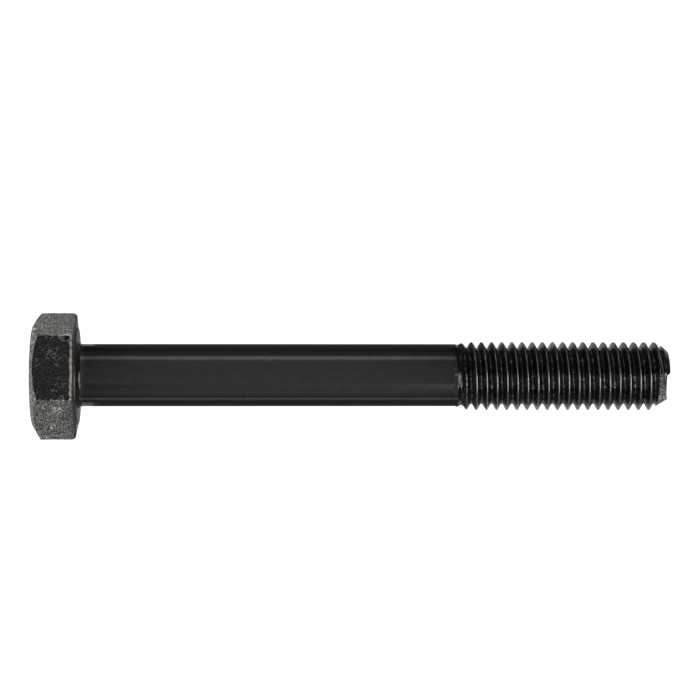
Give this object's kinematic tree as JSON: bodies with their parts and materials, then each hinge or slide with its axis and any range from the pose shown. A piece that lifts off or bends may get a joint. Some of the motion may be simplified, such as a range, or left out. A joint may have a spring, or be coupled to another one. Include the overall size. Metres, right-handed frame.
{
  "type": "hex bolt",
  "caption": "Blackened steel hexagon head bolt with a round bearing face, plain shank and threaded end, for clamping parts with a nut or a tapped hole.",
  "frame": {"origin": "centre of the head's flat top", "axes": "+X along the bolt's axis from the head to the thread's end, +Z square to one pair of wrench flats"},
  "size_m": [0.1088, 0.0218, 0.019],
  "materials": {
    "blackened_steel": "satin black oxide, lightly oiled, worn to bare metal along its edges"
  },
  "bodies": {
    "root": {"bolt": "blackened_steel"}
  },
  "joints": []
}
